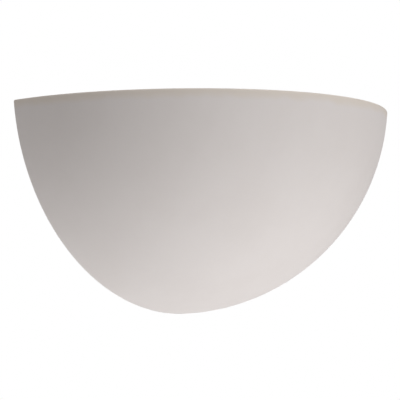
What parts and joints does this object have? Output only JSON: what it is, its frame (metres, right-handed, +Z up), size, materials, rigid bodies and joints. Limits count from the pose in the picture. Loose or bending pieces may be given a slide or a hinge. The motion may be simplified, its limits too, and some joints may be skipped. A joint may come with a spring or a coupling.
{
  "type": "uplighter wall sconce",
  "caption": "Ceramic wall uplighter: a ball cut flat at the wall and at its open top, clamped to a steel bracket with a lampholder and an upright lamp inside.",
  "frame": {"origin": "on the wall plane, midway between the two wall screw slots", "axes": "+Z up, +X to the right along the wall as seen from the room, +Y into the wall; the light stands out towards -Y"},
  "size_m": [0.3584, 0.1743, 0.1659],
  "materials": {
    "bisque": "matte",
    "zinc_plated_steel": "satin",
    "black_rubber": "matte",
    "red_fibre": "matte",
    "brass": "satin",
    "porcelain": "gloss",
    "nylon": "satin",
    "tinned_copper": "satin",
    "brown_insulation": "satin",
    "blue_insulation": "satin",
    "green_insulation": "satin",
    "opal_glass": "gloss",
    "lamp_cap_aluminium": "satin",
    "black_glass": "gloss",
    "solder": "satin"
  },
  "bodies": {
    "fixture": {"ceramic_shell": "bisque", "wall_bracket": "zinc_plated_steel", "cable_grommet": "black_rubber", "clamp_stud_left": "zinc_plated_steel", "clamp_stud_right": "zinc_plated_steel", "seat_washer_left": "black_rubber", "seat_washer_right": "black_rubber", "nut_washer_left": "red_fibre", "nut_washer_right": "red_fibre", "lampholder_arm": "zinc_plated_steel", "arm_screws": "zinc_plated_steel", "arm_nuts": "zinc_plated_steel", "threaded_tube": "brass", "lock_nuts": "zinc_plated_steel", "lampholder_base": "porcelain", "lampholder_body": "porcelain", "screw_shell": "brass", "centre_contact": "brass", "side_contact": "brass", "joining_screws": "zinc_plated_steel", "holder_terminal_screws": "brass", "terminal_block": "nylon", "terminal_barrels": "brass", "terminal_block_screws": "zinc_plated_steel", "block_fixing_screws": "zinc_plated_steel", "earth_stud": "brass", "ring_terminal": "tinned_copper", "earth_washer": "zinc_plated_steel", "earth_nut": "brass", "live_lead": "brown_insulation", "neutral_lead": "blue_insulation", "earth_lead": "green_insulation"},
    "lamp": {"lamp_glass": "opal_glass", "lamp_cap": "lamp_cap_aluminium", "lamp_insulator": "black_glass", "lamp_contact": "solder"},
    "left_thumb_nut": {"thumb_nut_left": "brass"},
    "right_thumb_nut": {"thumb_nut_right": "brass"}
  },
  "joints": [
    {"name": "lamp_removal", "type": "slide", "parent": "fixture", "child": "lamp", "axis": [0, 0, 1], "range_m": [0, 0.12]},
    {"name": "left_thumb_nut_turn", "type": "hinge", "parent": "fixture", "child": "left_thumb_nut", "pos_m": [-0.11803, -0.0245, 0], "axis": [0, 1, 0], "continuous": true},
    {"name": "right_thumb_nut_turn", "type": "hinge", "parent": "fixture", "child": "right_thumb_nut", "pos_m": [0.11803, -0.0245, 0], "axis": [0, 1, 0], "continuous": true}
  ]
}
